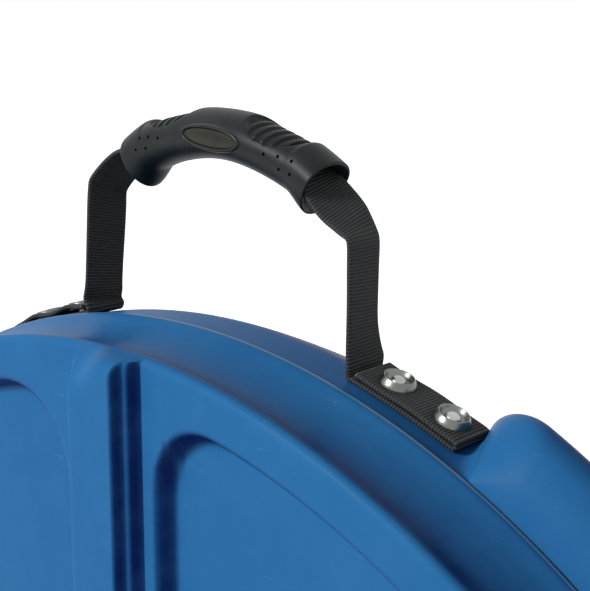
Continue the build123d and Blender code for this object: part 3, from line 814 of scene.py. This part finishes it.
def ribbed_webbing(name, cut_end):
    """Black nylon webbing: a rib at every weft, with fine warp yarns over it, grey and frayed at the cut
    end, which lies at this length along it."""
    material, shader, place = new_finish(name, "UV")
    along = place.part("Y")
    across = place.part("X")
    rib = along.wave(RIB_PITCH, math.pi / 2)
    yarn = across.wave(0.00088) * along.wave(2 * RIB_PITCH, math.pi / 4)
    weave = (rib * 0.5 + yarn * 0.5 + 1.0) * 0.5
    body = Socket(place.tree, place.output.node.outputs["Object"])
    dust = body.noise(220.0, 4.0, 0.7)
    thread = body.noise(1500.0, 2.0, 0.6)
    # Painted shade and highlight: the black is darker in the weave's sunk grooves and paler on its raised
    # crests.
    black = weave.between(0.15, 0.95).shade((0.0030, 0.0036, 0.0040, 1), (0.056, 0.063, 0.064, 1))
    black = (dust.between(0.5, 0.8) * 0.25).over(black, (0.075, 0.080, 0.078, 1))
    frayed = along.between(cut_end - 0.0010, cut_end - 0.0004)
    black = (frayed * thread.between(0.3, 0.6)).over(black, (0.14, 0.14, 0.13, 1))
    feed(shader, Base_Color=black, Roughness=0.62 + dust * 0.2, Specular_IOR_Level=0.35)
    feed(shader, Normal=bumped(weave * 0.8 + thread * 0.2, 0.00035, 0.8))
    return material


right_part = [
    (0.0400, 0.6975, 0.0, 0.00), (0.0445, 0.6955, 0.0, -0.05), (0.0485, 0.6930, 0.0, -0.16),
    (0.0522, 0.6898, -2.0, -0.28), (0.0560, 0.6864, -4.0, -0.36), (0.0604, 0.6830, -3.0, -0.38),
    (0.0647, 0.6801, 2.0, -0.31), (0.0678, 0.6772, 7.2, -0.18), (0.0701, 0.6749, 8.5, -0.02),
    (0.0711, 0.6723, 6.8, 0.01), (0.0709, 0.6640, 7.5, 0.06), (0.0708, 0.6519, 8.5, 0.12),
    (0.0707, 0.6433, 8.7, 0.08), (0.0711, 0.6366, 5.4, 0.02), (0.0717, 0.6321, 1.6, -0.00),
    (0.0724, 0.6291, -1.3, -0.04), (0.0718, 0.6253, 0.0, 0.0), (0.0724, 0.6242, 0.0, 0.0),
]
left_part = [
    (-0.0360, 0.6988, 0.0, 0.00), (-0.0410, 0.6965, 0.0, 0.00), (-0.0518, 0.6916, -4.3, 0.42),
    (-0.0579, 0.6879, -2.6, 0.45), (-0.0629, 0.6839, 0.1, 0.43), (-0.0665, 0.6805, 3.3, 0.37),
    (-0.0683, 0.6784, 4.8, 0.34), (-0.0688, 0.6758, 4.4, 0.30), (-0.0693, 0.6700, 4.7, 0.20),
    (-0.0704, 0.6583, 3.1, 0.22), (-0.0718, 0.6447, 0.7, 0.19), (-0.0725, 0.6366, -0.1, 0.14),
    (-0.0730, 0.6326, 3.0, 0.09), (-0.0741, 0.6291, 3.3, 0.12), (-0.0719, 0.6262, 2.0, 0.0),
    (-0.0722, 0.6247, 0.0, 0.0), (-0.0727, 0.6240, 0.0, 0.0),
]
for side, side_name, upper_part, tip in ((-1, "left", left_part, 23.9), (1, "right", right_part, 22.9)):
    piece, length = strap("webbing_" + side_name, side, upper_part, tip)
    piece.data.materials.clear()
    piece.data.materials.append(ribbed_webbing("webbing_finish_" + side_name, length))
    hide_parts("strap_upright_" + side_name, "strap_foot_" + side_name)
    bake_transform(piece)

# Cup washers and screws
# Each foot is held by two domed screws of bright nickel plate, in pressed cup washers of dark nickel plate
# whose sloping skirts bite into the webbing.
FOOT_TOPS = {"left": 0.30495, "right": 0.30545}
WASHER_OUTLINE = [
    (0.0024, 0.0004), (0.0033, 0.0005), (0.0041, 0.0008), (0.0047, 0.0015), (0.0051, 0.0023),
    (0.0054, 0.0027), (0.0057, 0.0027), (0.0060, 0.0023), (0.0065, 0.0012), (0.0070, 0.0002),
    (0.0070, -0.0004), (0.0064, -0.0004), (0.0058, 0.0008), (0.0054, 0.0018), (0.0049, 0.0008),
    (0.0042, 0.0002), (0.0024, -0.0001), (0.0024, 0.0004),
]
SCREW_OUTLINE = [
    (0.0022, -0.0100), (0.0022, 0.0002), (0.0029, 0.0003), (0.0030, 0.0010), (0.0028, 0.0015),
    (0.0024, 0.0019), (0.0017, 0.0023), (0.0010, 0.0025), (0.0004, 0.0025),
]


def turned_piece(name, outline, angle, foot_top, sides=48):
    """A round piece drawn out from a circle, ring by ring, and set on the shell's edge at an angle."""
    deselect_all()
    radius, height = outline[0]
    bpy.ops.mesh.primitive_circle_add(vertices=sides, radius=radius)
    piece = bpy.context.object
    piece.name = name
    bpy.ops.object.mode_set(mode="EDIT")
    bpy.ops.mesh.select_all(action="SELECT")
    bpy.ops.transform.translate(value=(0, 0, height))
    for next_radius, next_height in outline[1:]:
        bpy.ops.mesh.extrude_region_move(TRANSFORM_OT_translate={"value": (0, 0, next_height - height)})
        scale = next_radius / radius
        bpy.ops.transform.resize(value=(scale, scale, 1), center_override=(0, 0, next_height))
        radius, height = next_radius, next_height
    if outline[0] != outline[-1]:
        bpy.ops.mesh.select_all(action="DESELECT")
        bpy.ops.mesh.select_non_manifold(extend=False)
        bpy.ops.mesh.edge_face_add()
    bpy.ops.mesh.select_all(action="SELECT")
    bpy.ops.mesh.remove_doubles(threshold=0.000002)
    bpy.ops.mesh.normals_make_consistent(inside=False)
    bpy.ops.object.mode_set(mode="OBJECT")
    turn = math.radians(angle)
    piece.rotation_euler = (0, turn, 0)
    piece.location = (foot_top * math.sin(turn), 0, AXIS_HEIGHT + foot_top * math.cos(turn))
    bpy.ops.object.transform_apply()
    bpy.ops.object.shade_smooth_by_angle(angle=math.radians(45))
    return piece


NICKEL = plated_steel("dark_nickel", (0.24, 0.26, 0.24), 0.18)
BRIGHT_NICKEL = plated_steel("bright_nickel", (0.55, 0.56, 0.54), 0.12)
for side, side_name in ((-1, "left"), (1, "right")):
    foot_top = FOOT_TOPS[side_name]
    for number, angle in enumerate(SCREW_ANGLES, 1):
        end = f"{side_name}_{number}"
        washer = turned_piece("cup_washer_" + end, WASHER_OUTLINE, side * angle, foot_top)
        dress(washer, NICKEL, "dark_nickel", "case", "cup_washers")
        screw = turned_piece("strap_screw_" + end, SCREW_OUTLINE, side * angle, foot_top)
        dress(screw, BRIGHT_NICKEL, "dark_nickel", "case", "strap_screws")

# Grip
# A moulded rubbery sleeve, arched to the hand, that the webbing runs through. Each end has a raised collar
# with an open mouth, and a scalloped finger pad with five ribs. Small pips are sunk in both flanks.
GRIP_MIDDLE = 2.1
GRIP_HALF = 27.3
GRIP_HALF_WIDTH = 0.0124
GRIP_ABOVE = 0.0098
GRIP_BELOW = 0.0098
GRIP_NARROWING = 0.0006
GRIP_TOP_FALL = 0.0009
GRIP_BELLY = 0.0008
GRIP_LOBE = 0.0032
GRIP_LOBE_START = 21.0
SCALLOP_MIDDLE = 13.4
SCALLOP_HALF = 7.1
SCALLOP_DEPTH = 0.0023
SCALLOP_SPREAD = 66.0
PAD_RIB_PITCH = 2.26
PAD_RIB_RISE = 0.0011
COLLAR_START = 20.0
COLLAR_RISE = 0.0009
MOUTH_WALL = 0.0013
GRIP_LEFT_DROP = 0.0019
PIP_RADIUS = 0.00065
PIP_FLANK = 0.0130
PIP_PLACES = [
    (-0.0346, 0.7018), (-0.0290, 0.7028), (-0.0232, 0.7027), (-0.0366, 0.6971), (-0.0310, 0.6981),
    (0.0335, 0.7013), (0.0399, 0.7009), (0.0462, 0.6997), (0.0408, 0.6964), (0.0462, 0.6951),
]


def grip_ring(along, drawn_in):
    """One ring of the grip's skin, at this many degrees from its middle, drawn in by a distance."""
    q = abs(along)
    around = np.radians(np.linspace(0, 360, 121))
    collar = ease((q - COLLAR_START) / 1.3) * (1 - 0.75 * np.clip((q - COLLAR_START - 1.6) / 5.6, 0, 1))
    wide = GRIP_HALF_WIDTH - GRIP_NARROWING * ease((q - 8) / 12)
    above = GRIP_ABOVE + COLLAR_RISE * collar - GRIP_TOP_FALL * ease((q - 4) / 10)
    below = GRIP_BELOW + GRIP_BELLY * ease(q / 20) + GRIP_LOBE * ease((q - GRIP_LOBE_START) / 6.0)
    drop = GRIP_LEFT_DROP * np.clip((-along - GRIP_MIDDLE - 12.0) / 13.0, 0, 1) ** 2
    spread = np.degrees(np.minimum(around, 2 * math.pi - around)) / SCALLOP_SPREAD
    inside = 1 - ((q - SCALLOP_MIDDLE) / SCALLOP_HALF) ** 2 - spread**2
    hollow = SCALLOP_DEPTH * ease(inside / 0.22)
    count = (q - SCALLOP_MIDDLE) / PAD_RIB_PITCH
    ribs = PAD_RIB_RISE * ease((math.cos(2 * math.pi * count) + 0.35) / 0.9) * ease((inside - 0.10) / 0.16)
    outward = np.where(np.cos(around) > 0, above, below) - drawn_in
    sideways = wide - min(drawn_in, 0.0026)
    radial = (outward - (hollow - ribs) * ease(np.cos(around) * 2.4)) * np.cos(around)
    y = -(sideways - 0.5 * (hollow - ribs) * np.abs(np.sin(around))) * np.sin(around)
    radius = ARCH_RADIUS + radial - drop
    turn = math.radians(along + GRIP_MIDDLE)
    return np.stack([radius * math.sin(turn), y, ARCH_CENTRE + radius * math.cos(turn)], axis=1)


def grip_moulding():
    """The grip as one skin: in through one mouth, over the outside and in through the other. Each row
    of a mouth gives its degrees back from the end and how far it is drawn in."""
    mouth = [(3.8, 0.0062), (2.2, 0.0050), (0.9, 0.0030), (0.25, MOUTH_WALL + 0.0001)]
    mouth += [(0.05, MOUTH_WALL - 0.0003), (0.0, 0.0006), (0.06, 0.0002), (0.22, 0.0)]
    outside = np.arange(0.45 - GRIP_HALF, GRIP_HALF - 0.3, 0.2)
    rings = [grip_ring(back - GRIP_HALF, drawn_in) for back, drawn_in in mouth]
    rings += [grip_ring(along, 0.0) for along in outside]
    rings += [grip_ring(GRIP_HALF - back, drawn_in) for back, drawn_in in reversed(mouth)]
    caps = [np.broadcast_to(ring.mean(axis=0), ring.shape) for ring in (rings[0], rings[-1])]
    return skin("grip_moulding", np.array([caps[0]] + rings + [caps[1]]), 40.0)


def pip_cutter():
    """Short pins that sink the pips into both flanks."""
    pins = []
    for x, z in PIP_PLACES:
        for flank in (-1, 1):
            deselect_all()
            place = (x, flank * PIP_FLANK, z)
            bpy.ops.mesh.primitive_cylinder_add(vertices=14, radius=PIP_RADIUS, depth=0.0060, location=place)
            bpy.context.object.rotation_euler = (math.radians(90), 0, 0)
            bpy.ops.object.transform_apply()
            pins.append(bpy.context.object)
    return join_pieces(pins)


def grip_rubber():
    """Moulded thermoplastic rubber: near black, with a satin sheen and a very fine grain."""
    material, shader, place = new_finish("grip_rubber")
    grain = place.noise(1300.0, 3.0, 0.6)
    cloud = place.noise(55.0, 4.0, 0.6)
    black = cloud.between(0.35, 0.75).shade((0.006, 0.009, 0.010, 1), (0.014, 0.019, 0.020, 1))
    feed(shader, Base_Color=black, Roughness=0.34 + cloud * 0.14, Specular_IOR_Level=0.18)
    feed(shader, Normal=bumped(grain, 0.00012, 0.35))
    return material


grip = grip_moulding()
cut_away(grip, pip_cutter())
bpy.ops.object.shade_smooth_by_angle(angle=math.radians(40))
dress(grip, grip_rubber(), "grip_rubber", "handle", "grip_body", "strap_core")

# Badge
# A plain oval plate of glossy resin on the grip's front flank, sunk in a rounded oval frame. It is bare.
BADGE_X = 0.0061
BADGE_Z = 0.705
BADGE_TILT = math.radians(4.0)
OVAL_POINTS = 97
# Half length and half height in millimetres, then the depth of each ring in metres
FRAME_OUTLINE = [
    (16.1, 5.2, -0.0092), (15.9, 5.05, -0.0118), (15.5, 4.75, -0.0127),
    (15.0, 4.3, -0.0131), (14.5, 3.85, -0.0130), (14.1, 3.5, -0.0126),
    (13.8, 3.25, -0.0118), (13.6, 3.1, -0.0092), (16.1, 5.2, -0.0092),
]
PLATE_HALVES = (13.75, 3.2)
PLATE_BACK = -0.0100
PLATE_FACE = -0.0124
PLATE_DOME = 0.0006


def oval_place(half_length, half_height, y):
    """Points round an oval on the badge's tilted axes. Its half sizes are in millimetres."""
    angles = np.linspace(0, 2 * math.pi, OVAL_POINTS)
    along = half_length / 1000 * np.cos(angles)
    up = half_height / 1000 * np.sin(angles)
    x = BADGE_X + along * math.cos(BADGE_TILT) + up * math.sin(BADGE_TILT)
    z = BADGE_Z - along * math.sin(BADGE_TILT) + up * math.cos(BADGE_TILT)
    return np.stack([x, np.full(OVAL_POINTS, y), z], axis=1)


def glossy_resin(name, dark, light):
    """Poured resin under a clear gloss, with the faintest cloud in it."""
    material, shader, place = new_finish(name)
    cloud = place.noise(120.0, 3.0, 0.5)
    feed(shader, Base_Color=cloud.between(0.3, 0.7).shade(dark, light), Roughness=0.30 + cloud * 0.12)
    feed(shader, Coat_Weight=0.08, Coat_Roughness=0.15, Specular_IOR_Level=0.2)
    return material


badge_ring = skin("badge_oval_frame", np.array([oval_place(*row) for row in FRAME_OUTLINE]), 60.0)
frame_gloss = glossy_resin("frame_gloss", (0.006, 0.007, 0.007, 1), (0.012, 0.013, 0.013, 1))
dress(badge_ring, frame_gloss, "badge_frame", "handle", "badge_frame")
plate_rows = [oval_place(0.0, 0.0, PLATE_BACK), oval_place(*PLATE_HALVES, PLATE_BACK)]
plate_rows.append(oval_place(*PLATE_HALVES, PLATE_FACE))
for share in np.linspace(0.92, 0.0, 12):
    lift = PLATE_DOME * (1 - share**2)
    length, height = (half * share for half in PLATE_HALVES)
    plate_rows.append(oval_place(length, height, PLATE_FACE - lift))
badge_face = skin("badge_oval_plate", np.array(plate_rows), 50.0)
plate_gloss = glossy_resin("plate_gloss", (0.010, 0.011, 0.007, 1), (0.018, 0.019, 0.010, 1))
dress(badge_face, plate_gloss, "badge_plate", "handle", "badge_plate")

# Stage, light and view
# A pale floor under the case, a large soft lamp above and to the left of the front, and a weak pale room
# all round. The view is the photograph's: from above the right front, with its horizon set high.
FLOOR_SIZE = 40.0
FLOOR_GLOW = 0.60
FULL_GLOW_FROM = (0.9, 2.6)
ROOM_LEVEL = 0.24
LAMP_POWER = 64.0
LAMP_SIZE = 0.7
LAMP_PLACE = (-0.75, -2.20, 2.10)
LAMP_TARGET = (0.0, 0.0, 0.5)
VIEW_POINT = (0.3767, -0.3686, 0.7633)
VIEW_TURN = 42.57
VIEW_DOWN = 11.08
VIEW_LENS = 84.03
VIEW_SHIFT = -0.0785


def seen_directly(tree):
    """1 where the camera looks at a thing, or sees it mirrored or through glass, and 0 for its light."""
    paths = tree.nodes.new("ShaderNodeLightPath")
    rays = [Socket(tree, paths.outputs[f"Is {kind} Ray"]) for kind in ("Camera", "Glossy", "Transmission")]
    return rays[0].math("MAXIMUM", rays[0], rays[1].math("MAXIMUM", rays[1], rays[2]))


def pale_floor():
    """Matt pale paint that keeps the case's shadow, and glows white to the camera further away."""
    material, shader, place = new_finish("pale_floor")
    cloud = place.noise(3.0, 2.0)
    feed(shader, Base_Color=cloud.shade((0.80, 0.80, 0.80, 1), (0.84, 0.84, 0.84, 1)), Roughness=0.9)
    away = place.vector("LENGTH", place).between(*FULL_GLOW_FROM)
    white = away.shade((FLOOR_GLOW, FLOOR_GLOW, FLOOR_GLOW, 1), (1, 1, 1, 1))
    glow = seen_directly(material.node_tree).over((0, 0, 0, 1), white)
    feed(shader, Emission_Color=glow, Emission_Strength=1.0, Specular_IOR_Level=0.1)
    return material


deselect_all()
bpy.ops.mesh.primitive_plane_add(size=FLOOR_SIZE, location=(0, 0, 0))
floor = bpy.context.object
floor.name = "studio_floor"
floor.data.materials.append(pale_floor())

world = bpy.data.worlds.new("pale_room")
world.use_nodes = True
bpy.context.scene.world = world
background = world.node_tree.nodes["Background"]
background.inputs["Color"].default_value = (1, 1, 1, 1)
strength = ROOM_LEVEL + seen_directly(world.node_tree) * (1.0 - ROOM_LEVEL)
give(background.inputs["Strength"], strength)

lamp_data = bpy.data.lights.new("key_lamp", "AREA")
lamp_data.energy = LAMP_POWER
lamp_data.size = LAMP_SIZE
key_lamp = bpy.data.objects.new("key_lamp", lamp_data)
key_lamp.location = LAMP_PLACE
key_lamp.rotation_euler = (Vector(LAMP_TARGET) - Vector(LAMP_PLACE)).to_track_quat("-Z", "Y").to_euler()
bpy.context.scene.collection.objects.link(key_lamp)

camera_data = bpy.data.cameras.new("view")
camera_data.lens = VIEW_LENS
camera_data.sensor_width = 36.0
camera_data.shift_y = VIEW_SHIFT
camera_data.clip_start = 0.01
camera = bpy.data.objects.new("view", camera_data)
camera.location = VIEW_POINT
camera.rotation_euler = (math.radians(90 - VIEW_DOWN), 0, math.radians(VIEW_TURN))
bpy.context.scene.collection.objects.link(camera)
bpy.context.scene.camera = camera
bpy.context.scene.view_settings.view_transform = "Standard"
